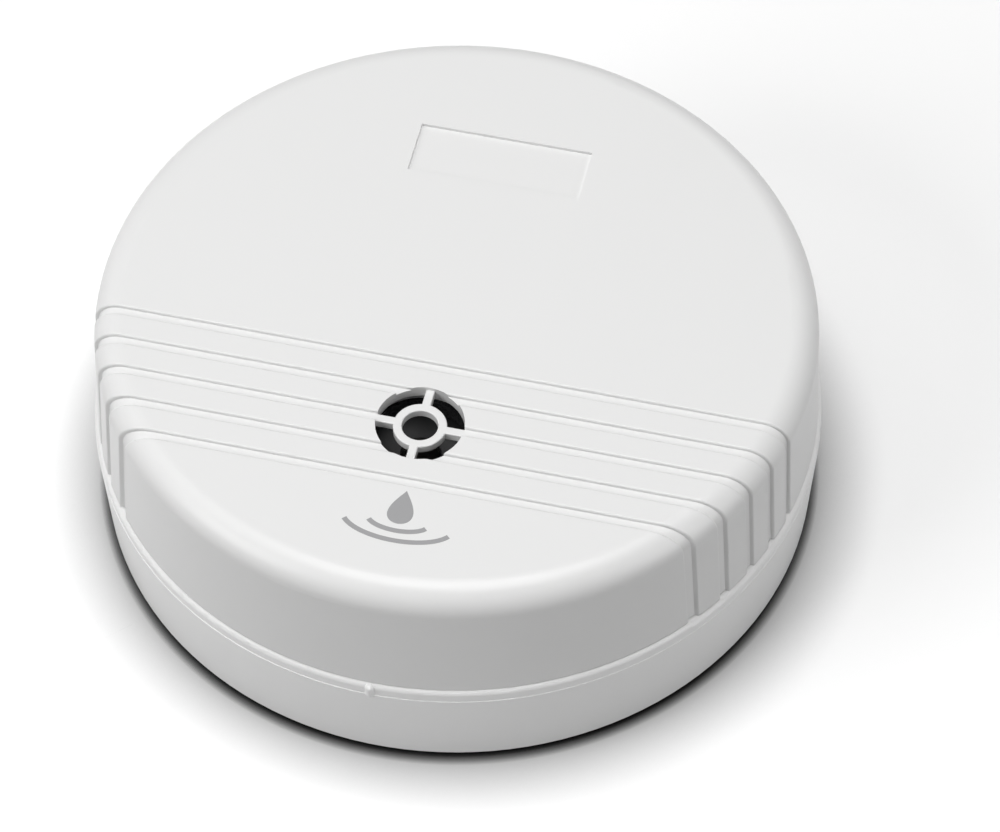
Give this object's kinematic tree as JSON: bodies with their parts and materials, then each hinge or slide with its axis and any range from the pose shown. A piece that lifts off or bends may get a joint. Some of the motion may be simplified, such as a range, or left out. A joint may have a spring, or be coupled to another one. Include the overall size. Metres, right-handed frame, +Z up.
{
  "type": "water leak sensor",
  "caption": "Round floor-standing water leak alarm: drafted base tray on metal probe feet, grooved lift-off cover with a spoked sound grille, battery and sounder inside.",
  "frame": {"origin": "on the floor under the middle of the puck", "axes": "+Z up, square to the floor; X along the cover's grooves; -Y towards the front, where the grille, the pip and the bare print area are; +Y towards the label recess"},
  "size_m": [0.09, 0.0904, 0.0318],
  "materials": {
    "white_cover": "satin moulded ABS, slightly glossy",
    "white_base": "satin moulded ABS, slightly glossy",
    "nickel": "bright nickel plating",
    "zinc": "zinc plated steel",
    "brass": "turned brass",
    "tinned": "tinned copper wire",
    "seal": "moulded rubber",
    "board_green": "glass fibre laminate with green solder resist",
    "chip_black": "matt moulded epoxy",
    "sleeve_black": "shrunk sleeve",
    "capacitor_blue": "printed sleeve on an aluminium can",
    "resistor_tan": "lacquered body with colour bands",
    "diode_orange": "glass body with a black end band",
    "ceramic_ochre": "dipped coating",
    "sounder_black": "matt moulded plastic",
    "piezo_white": "silvered ceramic",
    "foam": "closed cell foam",
    "battery_wrap": "printed steel jacket, left plain",
    "battery_core": "sealed cells",
    "battery_plate": "insulating board",
    "clip_black": "soft moulded cover",
    "lead_red": "insulated wire",
    "lead_black": "insulated wire",
    "lead_yellow": "insulated wire"
  },
  "bodies": {
    "base": {"alarm_chip": "chip_black", "alarm_chip_legs": "tinned", "base_housing": "white_base", "battery_cells": "battery_core", "battery_end_plate": "battery_plate", "battery_jacket": "battery_wrap", "battery_pad": "foam", "battery_socket": "nickel", "battery_stud": "nickel", "battery_terminal_plate": "battery_plate", "black_battery_lead": "lead_black", "board_screws": "zinc", "board_spacers": "brass", "boost_coil": "sleeve_black", "boost_coil_pins": "tinned", "ceramic_capacitor_legs": "tinned", "ceramic_capacitors": "ceramic_ochre", "circuit_board": "board_green", "clip_plate": "clip_black", "clip_socket": "nickel", "clip_stud": "nickel", "contact_nuts": "zinc", "contact_seals": "seal", "contact_washers": "zinc", "diode_legs": "tinned", "diodes": "diode_orange", "electrolytic_capacitor": "capacitor_blue", "electrolytic_capacitor_legs": "tinned", "left_sensor_lead": "lead_yellow", "piezo_ceramic": "piezo_white", "piezo_disc": "brass", "red_battery_lead": "lead_red", "resistor_legs": "tinned", "resistors": "resistor_tan", "right_sensor_lead": "lead_yellow", "ring_terminals": "tinned", "sensor_contacts": "nickel", "sounder_cap": "sounder_black", "sounder_case": "sounder_black", "sounder_foam_ring": "foam", "sounder_pins": "tinned", "transistor": "chip_black", "transistor_legs": "tinned"},
    "cover": {"top_cover": "white_cover"}
  },
  "joints": [
    {"name": "cover_lift", "type": "slide", "parent": "base", "child": "cover", "axis": [0, 0, 1], "range_m": [0, 0.04]}
  ]
}
